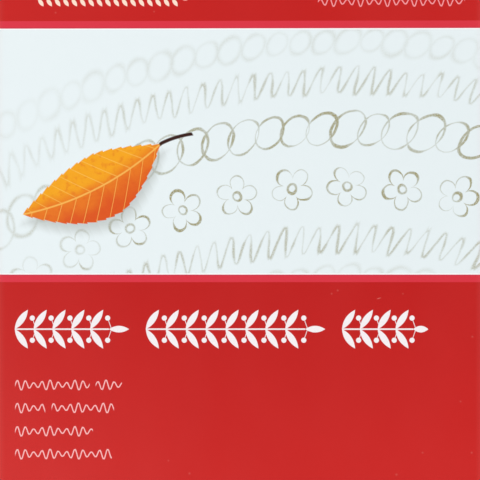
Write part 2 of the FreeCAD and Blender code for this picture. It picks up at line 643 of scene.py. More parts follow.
@dataclass(frozen=True)
class FallenLeaf:
    """The coloured leaf that is printed lying across the panel, with its shadow."""

    stalk_at: Place = (-22.0, 27.0)
    direction: float = math.radians(207)
    length: float = 44.0
    half_width: float = 9.5
    fullest: float = 0.4
    taper: float = 0.35
    bow: float = 0.07
    tooth_depth: float = 0.45
    teeth: float = 17.0
    vein_pitch: float = 4.3
    vein_lean: float = 0.8
    stalk_length: float = 9.0
    stalk_overlap: float = 0.6
    stalk_bend: float = 0.02
    stalk_line: Line = (0.5, 0.16)
    shadow_shift: Place = (1.1, -2.4)
    shadow_spread: float = 2.6
    shadow_depth: float = 0.62
    edge_soft: float = 0.12
    warm_wander: float = 5.0
    warm_below: Run = (-1.0, 3.5)
    deep_wander: float = 9.0
    deep_below: Run = (5.0, 11.0)
    side_vein: Line = (0.1, 0.14)
    midrib: Line = (0.22, 0.16)
    vein_strength: float = 0.7
    pale: Colour = ink(246, 168, 40)
    warm: Colour = ink(233, 122, 42)
    deep: Colour = ink(222, 90, 40)
    vein: Colour = ink(251, 204, 104)
    stalk: Colour = ink(62, 38, 28)
    shadow: Colour = ink(176, 181, 176)
    freckles: Grain = Grain(0.55, 4.0, 0.5, 0.72, 0.4)

    def place(self, press: Press, shift: Place) -> tuple[Tone, Tone]:
        """Finds each place on the leaf's own axes, which bow sideways by a parabola.

        Args:
            press: What draws the leaf.
            shift: How far the leaf is moved across and along the card.

        Returns:
            The place along the axis, from the stalk, and the place across it.
        """
        east = press.x - (self.stalk_at[0] + shift[0])
        north = press.y - (self.stalk_at[1] + shift[1])
        along, across = turned(east, north, self.direction)
        share = (along / self.length).clamped()
        return along, across - share * (1.0 - share) * (4 * self.bow * self.length)

    def outline(self, along: Tone) -> Tone:
        """Works out half the leaf's width: a parabola, fuller towards the stalk, less saw teeth.

        Args:
            along: The place along the axis.

        Returns:
            Half the width there.
        """
        share = along / self.length
        saw = (share * self.teeth).math("FRACT") * self.tooth_depth
        fullness = 1.0 - (share - self.fullest).size() * self.taper
        return share * (1.0 - share) * (4 * self.half_width) * fullness - saw

    def blade(self, press: Press, along: Tone, across: Tone) -> Colouring:
        """Colours the blade: pale above the midrib, deepening below it, with freckles and veins.

        Args:
            press: What draws the leaf.
            along: The place along the axis.
            across: The place across it.

        Returns:
            The blade's colours.
        """
        fade = press.surface.noise(0.13, 3.0)
        colours = Colouring(press.surface.tree, self.pale)
        colours.coat((across + fade * self.warm_wander).rise(*self.warm_below), self.warm)
        colours.coat((across + fade * self.deep_wander).rise(*self.deep_below), self.deep)
        colours.coat(press.surface.grain(self.freckles), self.deep)
        ribs = (along - across.size() * self.vein_lean) / self.vein_pitch
        side_veins = ((ribs.math("FRACT") - 0.5) * self.vein_pitch).stroke(*self.side_vein)
        return colours.coat((side_veins | across.stroke(*self.midrib)) * self.vein_strength, self.vein)

    def lay(self, press: Press, colouring: Colouring, panel: Tone) -> None:
        """Lays the shadow, the blade and the stalk on the panel.

        Args:
            press: What draws the leaf.
            colouring: The panel's colours.
            panel: The mask of the panel.
        """
        along, across = self.place(press, self.shadow_shift)
        cast = (across.size() - self.outline(along)).fall(-self.shadow_spread, self.shadow_spread)
        colouring.coat(cast * panel * self.shadow_depth, self.shadow)
        along, across = self.place(press, (0.0, 0.0))
        shape = (across.size() - self.outline(along)).fall(-self.edge_soft, self.edge_soft)
        colouring.coat(shape * panel, self.blade(press, along, across))
        bent = across - along * along * self.stalk_bend
        stalk = bent.stroke(*self.stalk_line) * along.inside(-self.stalk_length, self.stalk_overlap, 0.2)
        colouring.coat(stalk * panel, self.stalk)


@dataclass(frozen=True)
class PanelPicture:
    """The pale panel's generic drawing: sketched rows on arcs, with one coloured leaf."""

    centre: Place = (30.0, -150.0)
    rows: tuple[DrawnRow, ...] = (
        DrawnRow(Motif.OVALS, 55.5, 3.2, 6.6, 0.34, 0.8),
        DrawnRow(Motif.WAVES, 44.5, 3.3, 4.7, 0.62, 0.34),
        DrawnRow(Motif.OVALS, 31.0, 4.4, 7.3, 0.95, 0.14),
        DrawnRow(Motif.FLOWERS, 15.0, 5.9, 15.5, 1.0, 0.12),
        DrawnRow(Motif.WAVES, 0.5, 3.5, 4.9, 0.7, 0.3),
        DrawnRow(Motif.OVALS, -10.5, 3.2, 6.9, 0.38, 0.75),
    )
    slow_wander: float = 1.9
    quick_wander: float = 0.5
    thin_stroke: float = 0.13
    thick_stroke: float = 0.42
    left_blur: float = 0.4
    blur_from: Run = (-62.0, -12.0)
    left_fade: float = 0.45
    fade_from: Run = (-68.0, -24.0)
    lightest: float = 0.65
    pressing: Grain = Grain(0.13, 1.0, 0.33, 0.66)
    tooth: Grain = Grain(2.6, 3.0, 0.32, 0.6, 0.42)
    sketch_grey: Colour = ink(176, 180, 164)
    sketch_olive: Colour = ink(152, 143, 92)
    leaf: FallenLeaf = FallenLeaf()

    def sketch_mask(self, press: Press) -> tuple[Tone, Tone]:
        """Draws all rows. Along a row is its radius times the angle about the far centre.

        Args:
            press: What draws the rows.

        Returns:
            How strongly the lines show, and how hard the hand pressed.
        """
        surface = press.surface
        slow, quick = surface.noise(0.07, 1.0) - 0.5, surface.noise(0.3, 1.0) - 0.5
        wobble = slow * self.slow_wander + quick * self.quick_wander
        east, north = press.x - self.centre[0], press.y - self.centre[1]
        radius = east.reach(north) + wobble
        angle = east.math("ARCTAN2", north)
        pressure = surface.grain(self.pressing)
        stroke = pressure * (self.thick_stroke - self.thin_stroke) + self.thin_stroke
        blur = press.x.fall(*self.blur_from) * self.left_blur
        lines = []
        for row in self.rows:
            arc = row.height - self.centre[1]
            gap = row.gap(press, angle * arc + wobble, radius - arc)
            lines.append(gap.stroke(stroke, blur + row.soft) * row.strength)
        paper = surface.grain(self.tooth) + (1 - self.tooth.weight)
        faded = 1.0 - press.x.fall(*self.fade_from) * self.left_fade
        darkness = pressure * (1 - self.lightest) + self.lightest
        return reduce(Tone.__or__, lines) * paper * darkness * faded, pressure

    def lay(self, press: Press, colouring: Colouring, panel: Tone) -> None:
        """Draws the rows on the panel and lays the coloured leaf over them.

        Args:
            press: What draws them.
            colouring: The panel's colours.
            panel: The mask of the panel.
        """
        lines, pressure = self.sketch_mask(press)
        strokes = Colouring(colouring.tree, self.sketch_grey).coat(lines * pressure, self.sketch_olive)
        colouring.coat(lines * panel, strokes)
        self.leaf.lay(press, colouring, panel)


@dataclass(frozen=True)
class CoverPrint:
    """The cover card's printed and varnished face."""

    half_width: float
    tail: float
    crease: float = 88.8
    lower_fold: float = 95.0
    panel_low: float = -9.66
    panel_high: float = 59.12
    panel_tilt: float = 0.0015
    stripe: float = 2.1
    stripe_rim: float = 0.35
    rim_strength: float = 0.7
    keyline: float = 0.34
    # Painted sheen and light: the red is mixed lighter to the left, towards the tail and a little to the
    # right.
    red_deep: Colour = ink(191, 39, 38)
    red_in_painted_sheen: Colour = ink(214, 49, 46)
    red_centre: Place = (17.0, -14.0)
    tail_lift: float = 0.46
    tail_reach: float = 52.0
    head_lift: float = 0.2
    head_from: Run = (55.0, 58.0)
    left_painted_sheen: float = 0.2
    left_reach: float = 84.0
    left_power: float = 1.5
    right_painted_sheen: float = 0.06
    right_reach: float = 50.0
    mottle: float = 0.2
    # Painted light: the stripes and the pale panel are mixed a shade darker from left to right.
    painted_shade_run: Run = (-67.0, 67.0)
    stripe_left: Colour = ink(221, 60, 75)
    stripe_right: Colour = ink(218, 58, 71)
    stripe_edge: Colour = ink(204, 58, 80)
    ice_left: Colour = ink(234, 243, 245)
    ice_right: Colour = ink(231, 240, 242)
    keyline_white: Colour = ink(250, 250, 251)
    garland_white: Colour = ink(246, 240, 242)
    tendril_pink: Colour = ink(255, 196, 196)
    head_cream: Colour = ink(255, 226, 208)
    head_pink: Colour = ink(250, 164, 168)
    worn: Colour = ink(222, 140, 134)
    dust: Colour = ink(240, 158, 146)
    garlands: tuple[Garland, ...] = (
        Garland(-62.9, -31.0, -24.9, 5),
        Garland(-26.3, 23.8, -24.9, 8),
        Garland(28.5, 52.6, -24.9, 4, tip_length=4.2),
    )
    head_garland: Garland = Garland(
        -56.4, -14.0, 67.5, 17, 2.7, 0.55, tip_length=2.6, berry_radius=0.0, stem_half_width=0.12
    )
    tendrils: tuple[Tendril, ...] = (
        Tendril(-62.8, -42.0, -40.5),
        Tendril(-40.3, -33.0, -40.5),
        Tendril(-62.8, -54.4, -46.9),
        Tendril(-52.6, -35.2, -46.9),
        Tendril(-62.8, -41.1, -53.4),
        Tendril(-62.8, -35.8, -59.8),
    )
    head_tendril: Tendril = Tendril(21.8, 62.8, 66.6, pitch=2.5)
    specks: tuple[tuple[float, float, float], ...] = (
        (43.7, -65.5, 0.44), (-14.1, -65.2, 0.42), (64.7, -59.4, 0.4), (27.3, -14.1, 0.4),
        (64.9, -27.0, 0.38), (51.0, -59.4, 0.38), (25.6, -15.0, 0.36), (-51.5, 63.5, 0.36),
        (61.6, -45.1, 0.36), (-20.0, -61.6, 0.34), (-24.0, 63.8, 0.34), (45.5, -15.0, 0.32),
    )
    speck_strength: float = 0.13
    lint: Place = (38.8, -16.3)
    lint_direction: float = math.radians(17)
    lint_length: Line = (0.5, 0.3)
    lint_width: Line = (0.1, 0.1)
    lint_strength: float = 0.4
    rub_width: float = 0.35
    rub_strength: float = 0.75
    pale_rim: Run = (0.2, 2.0)
    pale_rim_strength: float = 0.05
    crease_line: Line = (0.16, 0.12)
    fold_line: Line = (0.2, 0.1)
    gloss_roughness: float = 0.3
    smear: float = 0.12
    worn_dulls: float = 0.3
    dust_dulls: float = 0.2
    cracks: Grain = Grain(3.0, 3.0, 0.5, 0.64, 0.45, (0.5, 2.0, 1.0))
    picture: PanelPicture = PanelPicture()

    def red(self, press: Press) -> Colouring:
        """Mixes the red field, deepest right of the middle, with painted sheen and light that lift it to
        the left and to the tail.

        Args:
            press: What prints it.

        Returns:
            The field's colours.
        """
        centre_x, centre_y = self.red_centre
        # Painted sheen and light: lighter towards the tail, to the left and a little to the right. The
        # band above the panel is lighter too, and the mottle is the print's own.
        down = ((centre_y - press.y) / self.tail_reach).clamped() * self.tail_lift
        above = press.y.rise(*self.head_from) * self.head_lift
        leftward = ((centre_x - press.x) / self.left_reach).clamped()
        left = leftward.math("POWER", self.left_power) * self.left_painted_sheen
        right = ((press.x - centre_x) / self.right_reach).clamped() * self.right_painted_sheen
        mottle = (press.surface.noise(0.045, 3.0) - 0.5) * self.mottle
        lift = (down + above + left + right + mottle).clamped()
        return Colouring(press.surface.tree, self.red_deep).coat(lift, self.red_in_painted_sheen)

    def lay_panel(self, press: Press, field: Colouring) -> None:
        """Lays the two stripes, the panel between them, its picture and its white keylines; stripes and
        panel get painted light, a shade darker to the right.

        Args:
            press: What prints them.
            field: The red field's colours.
        """
        low, high, tilt, rim = self.panel_low, self.panel_high, self.panel_tilt, self.stripe_rim
        tree = press.surface.tree
        # Painted light: a shade darker towards the right, for the stripes and the panel.
        painted_shade_to_right = press.x.rise(*self.painted_shade_run)
        stripes = press.band(low - self.stripe, low) | press.band(high, high + self.stripe, tilt=tilt)
        field.coat(stripes, Colouring(tree, self.stripe_left).coat(painted_shade_to_right, self.stripe_right))
        rims = press.band(low - rim, low, 0.12) | press.band(high, high + rim, 0.12, tilt)
        field.coat(rims * self.rim_strength, self.stripe_edge)
        ice = Colouring(tree, self.ice_left).coat(painted_shade_to_right, self.ice_right)
        inner = press.window(low + self.keyline, high - self.keyline, 0.12, tilt)
        self.picture.lay(press, ice, inner)
        ice.coat(1.0 - inner, self.keyline_white)
        field.coat(press.window(low, high, 0.07, tilt), ice)

    def lay_ornaments(self, press: Press, field: Colouring) -> None:
        """Prints the garlands and the wave lines on the red.

        Args:
            press: What prints them.
            field: The field's colours.
        """
        for garland in self.garlands:
            field.coat(press.garland(garland), self.garland_white)
        field.coat(press.garland(self.head_garland), self.head_cream)
        field.coat(press.tendril(self.head_tendril), self.head_pink)
        for tendril in self.tendrils:
            field.coat(press.tendril(tendril), self.tendril_pink)

    def wear(self, press: Press) -> Tone:
        """Finds where ink is rubbed along the cut edges and cracked along the two folds.

        Args:
            press: What printed the card.

        Returns:
            How far the ink is gone.
        """
        rim = (self.half_width - press.x.size()).lesser(press.y - self.tail)
        ragged = rim - press.surface.noise(0.8, 4.0) * self.rub_width
        rubbed = ragged.fall(-0.1, 0.1) * self.rub_strength
        creased = (press.y - self.crease).stroke(*self.crease_line)
        folded = (press.y - self.lower_fold).stroke(*self.fold_line)
        cracked = (creased | folded) * press.surface.grain(self.cracks)
        return rubbed | cracked | rim.fall(*self.pale_rim) * self.pale_rim_strength

    def dusting(self, press: Press) -> Tone:
        """Scatters grains of dust, and one short thread of lint, in their places.

        Args:
            press: What draws them.

        Returns:
            How strongly they show.
        """
        along, across = turned(press.x - self.lint[0], press.y - self.lint[1], self.lint_direction)
        thread = across.stroke(*self.lint_width) * along.stroke(*self.lint_length) * self.lint_strength
        specks = [press.speck(*speck) * self.speck_strength for speck in self.specks]
        return reduce(Tone.__or__, specks, thread)

    def material(self) -> bpy.types.Material:
        """Prints the card under a thin gloss varnish, whose flow makes a faint orange peel.

        Returns:
            The finished material.
        """
        surface = Surface("varnished_print", flat_map=True)
        press = Press(surface)
        colours = self.red(press)
        self.lay_panel(press, colours)
        self.lay_ornaments(press, colours)
        worn, dust = self.wear(press), self.dusting(press)
        colours.coat(worn, self.worn).coat(dust, self.dust)
        smears = surface.noise(0.05, 3.0, (1.0, 0.5, 1.0)) * self.smear
        dulled = smears + worn * self.worn_dulls + dust * self.dust_dulls
        surface.set(Base_Color=colours.socket, Roughness=dulled + self.gloss_roughness)
        surface.set(Coat_Weight=0.25, Coat_Roughness=0.16, Specular_IOR_Level=0.38)
        surface.bump(surface.noise(1.4, 2.0) + surface.noise(0.22, 1.0) * 2.0, 0.0035)
        return surface.material


@dataclass(frozen=True)
class BareCard:
    """The card's unprinted side, or its cut edge: white fibre with a faint cloud and dry tooth."""

    name: str
    fibre_share: float = 0.1
    ground: Colour = paint(233, 232, 227)
    cloud: Colour = paint(221, 219, 211)
    fibre: Colour = paint(206, 202, 192)
    fibre_from: Run = (0.27, 0.42)
    clouds: Grain = Grain(0.3, 5.0, 0.35, 0.7, 0.22)
    lengthwise: Stretch = (2.2, 0.3, 1.0)
    crosswise: Stretch = (0.3, 2.2, 1.0)

    def material(self) -> bpy.types.Material:
        """Lays clouds of formation, and short fibres where two drawn-out noises meet.

        Returns:
            The finished material.
        """
        surface = Surface(self.name, flat_map=True)
        colours = Colouring(surface.tree, self.ground)
        colours.coat(surface.grain(self.clouds), self.cloud)
        threads = surface.noise(1.6, 2.0, self.crosswise) * surface.noise(1.6, 2.0, self.lengthwise)
        colours.coat(threads.rise(*self.fibre_from) * self.fibre_share, self.fibre)
        surface.set(Base_Color=colours.socket, Roughness=0.86, Specular_IOR_Level=0.25)
        surface.bump(surface.noise(3.5, 4.0), 0.012)
        return surface.material


@dataclass(frozen=True)
class WritingPaper:
    """Smooth white writing paper, whose stacked edges show as fine lines, with painted shade where two
    leaves meet.
    """

    leaf_thickness: float
    block_base: float
    sheet_white: Colour = paint(235, 236, 235)
    cloud: Colour = paint(228, 230, 229)
    edge_pale: Colour = paint(229, 227, 220)
    edge_deep: Colour = paint(194, 191, 181)
    # Painted shade: the seam colour is a dark line painted where two leaves meet.
    seam: Colour = paint(158, 155, 147)
    painted_seam_shade_line: Line = (0.07, 0.07)
    painted_seam_shade_strength: float = 0.75
    face_from: Run = (0.6, 0.8)
    along_edge: Stretch = (0.16, 0.16, 7.0)
    quires: Grain = Grain(0.16, 3.0, 0.42, 0.6, 0.6, (0.12, 0.12, 9.0))
    clouds: Grain = Grain(0.25, 5.0, 0.4, 0.66, 0.22)

    def material(self) -> bpy.types.Material:
        """Gives each leaf's edge a tone of its own from its number, with a dark seam of painted shade
        between two.

        Returns:
            The finished material, which shows plain paper where the surface lies flat.
        """
        surface = Surface("writing_paper")
        step = (surface.z - self.block_base) / self.leaf_thickness
        tone = surface.dice((step - 0.001).math("FLOOR"))
        streaks = surface.noise(0.9, 3.0, self.along_edge)
        edge = Colouring(surface.tree, self.edge_pale).coat(tone * streaks, self.edge_deep)
        edge.coat(surface.grain(self.quires), self.edge_deep)
        # Painted shade: a dark line where two leaves meet, in the gap between them.
        seam = ((step + 0.5).math("FRACT") - 0.5).stroke(*self.painted_seam_shade_line)
        edge.coat(seam * self.painted_seam_shade_strength, self.seam)
        face = Colouring(surface.tree, self.sheet_white).coat(surface.grain(self.clouds), self.cloud)
        geometry = surface.tree.nodes.new("ShaderNodeNewGeometry")
        split = surface.tree.nodes.new("ShaderNodeSeparateXYZ")
        feed(split.inputs[0], geometry.outputs["True Normal"])
        edge.coat(Tone(surface.tree, split.outputs[2]).size().rise(*self.face_from), face)
        surface.set(Base_Color=edge.socket, Roughness=0.82, Specular_IOR_Level=0.3)
        surface.bump(surface.noise(2.8, 4.0), 0.008)
        return surface.material


@dataclass(frozen=True)
class GreyBoard:
    """Recycled grey board: mottled pulp with pale and dark flecks."""

    pulp: Colour = paint(168, 163, 153)
    cloud: Colour = paint(149, 144, 134)
    pale_fleck: Colour = paint(206, 201, 190)
    dark_fleck: Colour = paint(104, 98, 90)
    clouds: Grain = Grain(0.12, 5.0, 0.35, 0.68, 0.7)
    pale_flecks: Grain = Grain(2.3, 3.0, 0.6, 0.72, 0.5, (0.35, 1.8, 5.0))
    dark_flecks: Grain = Grain(2.7, 3.0, 0.63, 0.73, 0.6, (1.7, 0.4, 5.0))
    plies: Grain = Grain(1.0, 3.0, 0.42, 0.66, 0.25, (0.4, 0.4, 9.0))

    def material(self) -> bpy.types.Material:
        """Lays soft clouds, drawn-out flecks and the plies that show at the edge, over a rough tooth.

        Returns:
            The finished material.
        """
        surface = Surface("grey_board")
        colours = Colouring(surface.tree, self.pulp)
        colours.coat(surface.grain(self.clouds), self.cloud)
        colours.coat(surface.grain(self.pale_flecks), self.pale_fleck)
        colours.coat(surface.grain(self.dark_flecks), self.dark_fleck)
        colours.coat(surface.grain(self.plies), self.cloud)
        surface.set(Base_Color=colours.socket, Roughness=0.94, Specular_IOR_Level=0.2)
        surface.bump(surface.noise(1.8, 5.0), 0.04)
        return surface.material


@dataclass(frozen=True)
class DriedGum:
    """The gum film along the head: milky white, brushed on along the pad's width."""

    milk: Colour = paint(236, 234, 224)
    thin: Colour = paint(214, 210, 194)
    thin_from: Run = (0.4, 0.65)
    brushed: Stretch = (0.12, 1.0, 1.6)

    def material(self) -> bpy.types.Material:
        """Draws brush streaks along the width.

        Returns:
            The finished material.
        """
        surface = Surface("dried_gum")
        streaks = surface.noise(0.9, 3.0, self.brushed)
        colours = Colouring(surface.tree, self.milk).coat(streaks.rise(*self.thin_from), self.thin)
        surface.set(Base_Color=colours.socket, Roughness=0.45)
        surface.set(Subsurface_Weight=0.15, Subsurface_Scale=0.0004)
        surface.bump(streaks, 0.03)
        return surface.material


@dataclass(frozen=True)
class StudioFloor:
    """The plain pale floor."""

    ground: Colour = (0.7, 0.7, 0.695)
    shade: Colour = (0.62, 0.62, 0.62)

    def material(self) -> bpy.types.Material:
        """Makes it matte, with the faintest unevenness.

        Returns:
            The finished material.
        """
        surface = Surface("studio_floor")
        colours = Colouring(surface.tree, self.ground).coat(surface.noise(0.01, 2.0) * 0.1, self.shade)
        surface.set(Base_Color=colours.socket, Roughness=0.9)
        return surface.material


def mesh_object(name: str, points: np.ndarray, quads: np.ndarray) -> bpy.types.Object:
    """Makes a mesh object at the origin from arrays.

    Args:
        name: The piece's name.
        points: One row of X, Y, Z in metres for each vertex.
        quads: One row of four vertex numbers for each face, counter-clockwise from outside.

    Returns:
        The object, linked to the scene.
    """
    mesh = bpy.data.meshes.new(name)
    mesh.from_pydata(points, [], quads.tolist())
    mesh.polygons.foreach_set("use_smooth", np.ones(len(quads), bool))
    mesh.set_sharp_from_angle(angle=SMOOTH_BELOW)
    piece = bpy.data.objects.new(name, mesh)
    bpy.context.scene.collection.objects.link(piece)
    return piece


def grid_quads(rows: int, columns: int, first: int = 0, flip: bool = False) -> np.ndarray:
    """Numbers the faces of a grid whose vertices run row by row.

    Args:
        rows: Rows of vertices.
        columns: Vertices in a row.
        first: The number of the grid's first vertex.
        flip: True to turn the faces over.

    Returns:
        One row of four vertex numbers for each face.
    """
    corner = first + np.arange(rows - 1)[:, None] * columns + np.arange(columns - 1)[None, :]
    quads = np.stack([corner, corner + 1, corner + columns + 1, corner + columns], axis=-1).reshape(-1, 4)
    return quads[:, ::-1] if flip else quads


def grid_rim(numbers: np.ndarray) -> np.ndarray:
    """The border of a grid of vertex numbers, round from its first corner along its first row."""
    return np.concatenate([numbers[0, :-1], numbers[:-1, -1], numbers[-1, :0:-1], numbers[:0:-1, 0]])


def smooth_step(low: float, high: float, at: np.ndarray) -> np.ndarray:
    """0 below low, 1 above high and three squares less two cubes between them."""
    share = np.clip((at - low) / (high - low), 0, 1)
    return share * share * (3 - 2 * share)


class CardFace(Enum):
    """The sides of the cover card, by their place in its list of materials."""

    PRINTED = 0
    BARE = 1
    CUT = 2


@dataclass
class CoverCard:
    """The cover: one sheet of card, from its tail edge over the head and in under the board.

    The path is the card's middle line in the pad's side view. It runs from the tail to the head,
    round the crease, down the gummed head, round the lower fold and in along the board. The
    sheet is made as two strips of that path: the first is the cover's, the second stays, and
    they meet flush near the foot of the head.
    """

    inner_radius: float = 0.04
    tail_lift: float = 0.13
    lift_from: float = 10.0
    lift_bow: float = 0.25
    bow_turn: float = 0.8
    ripple: float = 0.008
    ripple_along: float = 17.0
    ripple_across: float = 23.0
    ripple_from: float = 12.0
    ripple_run: float = 30.0
    columns: int = 61
    flap_rows: int = 90
    fold_rows: int = 9
    tuck_rows: int = 12
    bend_run: float = 1.2
    bend_reach: float = 0.4
    seam_above_fold: float = 0.2
    sheet_height: Room = (0.005, 0.99)
    printed_room: Room = (0.005, 0.655)
    bare_room: Room = (0.67, 0.29)
    cut_room: Room = (0.97, 0.02)

    def __post_init__(self) -> None:
        """Reads the card's places from the frame, in millimetres, and lays its path."""
        flap_low, flap_high = (np.array(corner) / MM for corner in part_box("front_cover"))
        binding_low, _ = (np.array(corner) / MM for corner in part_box("cover_binding"))
        self.half_width = float(flap_high[0])
        self.tail, self.head = float(flap_low[1]), float(flap_high[1])
        self.top, self.base = float(flap_high[2]), float(binding_low[2])
        self.thickness = self.top - float(flap_low[2])
        self.tuck_end = float(binding_low[1])
        self.across = np.linspace(-self.half_width, self.half_width, self.columns)
        self.lay_path()

    def path_runs(self) -> tuple[tuple[np.ndarray, ...], ...]:
        """Works out the path's five runs: the front, the crease, the head, the lower fold, the back.

        Each fold is a quarter circle, whose middle line's radius is the inner radius plus half
        the thickness. Rows lie close where the sheet bends.

        Returns:
            Each run's Y and Z, in millimetres, and how far its outer side leans from upright.
        """
        half = self.thickness / 2
        radius = self.inner_radius + half
        wall = self.head - half
        turn = wall - radius
        upper, lower = self.top - half - radius, self.base + half + radius
        seam = lower + self.seam_above_fold
        quarter = np.linspace(0, math.pi / 2, self.fold_rows)[1:]
        flap = np.append(
            np.linspace(self.tail, turn - self.bend_run, self.flap_rows, endpoint=False),
            np.linspace(turn - self.bend_run, turn, self.fold_rows),
        )
        down = np.concatenate([
            np.linspace(upper, upper - self.bend_run, self.fold_rows)[1:],
            np.linspace(upper - self.bend_run, seam, self.fold_rows)[1:],
            [lower],
        ])
        back = np.linspace(turn, self.tuck_end, self.tuck_rows)[1:]
        return (
            (flap, np.full(len(flap), self.top - half), np.zeros(len(flap))),
            (turn + radius * np.sin(quarter), upper + radius * np.cos(quarter), quarter),
            (np.full(len(down), wall), down, np.full(len(down), math.pi / 2)),
            (turn + radius * np.cos(quarter), lower - radius * np.sin(quarter), math.pi / 2 + quarter),
            (back, np.full(len(back), self.base + half), np.full(len(back), math.pi)),
        )

    def lay_path(self) -> None:
        """Works out the middle line's points (Y, Z), its normals and its flat places.

        The flat place is Y on the front and adds up the path's length from there.
        """
        runs = self.path_runs()
        y, z, lean = (np.concatenate(column) for column in zip(*runs))
        self.points = np.stack([y, z], axis=1)
        self.normals = np.stack([np.sin(lean), np.cos(lean)], axis=1)
        steps = np.linalg.norm(np.diff(self.points, axis=0), axis=1)
        self.flat = self.tail + np.concatenate([[0], np.cumsum(steps)])
        front, crease, head, *_ = (len(run[0]) for run in runs)
        self.seam_row = front + crease + head - 2

    def lift(self, rows: slice) -> np.ndarray:
        """Works out how far the flap has risen: a square law towards its tail, and a slight ripple.

        Args:
            rows: The rows of the path that are asked for.

        Returns:
            The rise in millimetres, a row for each row of the path.
        """
        flat, across = self.flat[rows, None], self.across[None, :]
        free = np.clip((self.lift_from - flat) / (self.lift_from - self.tail), 0, 1)
        wave = 1 + self.lift_bow * np.cos(across / self.half_width * math.pi * self.bow_turn)
        ripple = self.ripple * (1 + np.sin(flat / self.ripple_along + across / self.ripple_across))
        rippled = smooth_step(0, self.ripple_run, self.head - self.ripple_from - flat)
        return self.tail_lift * free**2 * wave + ripple * rippled

    def strip(self, name: str, rows: slice) -> bpy.types.Object:
        """Makes a closed strip: the path's two offsets at each place across, joined by cut edges.

        Args:
            name: The piece's name.
            rows: Its rows of the path.

        Returns:
            The piece, with its flat map, its bake map and a material number for each face.
        """
        count = len(self.points[rows])
        sides = []
        for direction in (1, -1):
            offset = self.points[rows] + self.normals[rows] * direction * self.thickness / 2
            grid = np.empty((count, self.columns, 3))
            grid[..., 0] = self.across
            grid[..., 1], grid[..., 2] = offset[:, :1], offset[:, 1:] + self.lift(rows)
            sides.append(grid.reshape(-1, 3))
        under = count * self.columns
        rim = grid_rim(np.arange(under).reshape(count, self.columns))
        after = np.roll(rim, -1)
        quads = np.concatenate([
            grid_quads(count, self.columns),
            grid_quads(count, self.columns, under, flip=True),
            np.stack([rim, rim + under, after + under, after], axis=1),
        ])
        piece = mesh_object(name, np.concatenate(sides) * MM, quads)
        side_faces = (count - 1) * (self.columns - 1)
        kinds = np.repeat([face.value for face in CardFace], [side_faces, side_faces, len(rim)])
        piece.data.polygons.foreach_set("material_index", kinds.astype(np.int32))
        self.map_strip(piece, self.flat[rows], quads, side_faces)
        return piece

    def map_strip(
        self, piece: bpy.types.Object, flat: np.ndarray, quads: np.ndarray, side_faces: int
    ) -> None:
        """Adds two maps: the flat card in millimetres, and a sheet that holds all faces apart.

        On the second the printed side takes the left two thirds, the bare side most of the rest
        and each cut edge a thin strip of its own at the right border.

        Args:
            piece: The strip.
            flat: The flat place of each of its rows.
            quads: Its faces.
            side_faces: Its faces on one side.
        """
        under = len(flat) * self.columns
        row, column = (quads % under) // self.columns, quads % self.columns
        places = np.stack([self.across[column], flat[row]], axis=-1)
        share = (places - places.min((0, 1))) / np.ptp(places, axis=(0, 1))
        laid = np.empty_like(share)
        printed, bare = slice(0, side_faces), slice(side_faces, 2 * side_faces)
        foot, height = self.sheet_height
        for side, (left, width) in ((printed, self.printed_room), (bare, self.bare_room)):
            laid[side] = (left, foot) + share[side] * (width, height)
        cut = quads[2 * side_faces :]
        run = np.repeat(np.arange(len(cut))[:, None], 4, axis=1) + np.array([0, 0, 1, 1])
        laid[2 * side_faces :, :, 0] = self.cut_room[0] + self.cut_room[1] * (cut < under)
        laid[2 * side_faces :, :, 1] = foot + height * run / len(cut)
        for name, corners in ((FLAT_MAP, places), (BAKE_MAP, laid)):
            layer = piece.data.uv_layers.new(name=name)
            layer.uv.foreach_set("vector", corners.astype(np.float32).ravel())

    def build(self) -> tuple[bpy.types.Object, bpy.types.Object]:
        """Makes the cover's strip and the strip that stays, which share the seam's row."""
        cover = self.strip("cover_card", slice(0, self.seam_row + 1))
        return cover, self.strip("cover_tuck", slice(self.seam_row, len(self.points)))

    def dress(self, cover: bpy.types.Object, tuck: bpy.types.Object, pivot: np.ndarray) -> None:
        """Finishes both strips: gives them their materials, bakes the cover's place into its mesh,
        hides the solids that they stand for and puts the tuck on the pad.

        Args:
            cover: The cover's strip.
            tuck: The strip that stays.
            pivot: The joint's place, in metres. Not used.
        """
        printed = CoverPrint(self.half_width, self.tail)
        finishes = (printed, BareCard("bare_card"), BareCard("cut_card", fibre_share=0.3))
        materials = [finish.material() for finish in finishes]
        for piece in (cover, tuck):
            for material in materials:
                piece.data.materials.append(material)
        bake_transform(cover)
        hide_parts("front_cover", "cover_binding")
        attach(tuck, "pad")
        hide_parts("cover_binding")


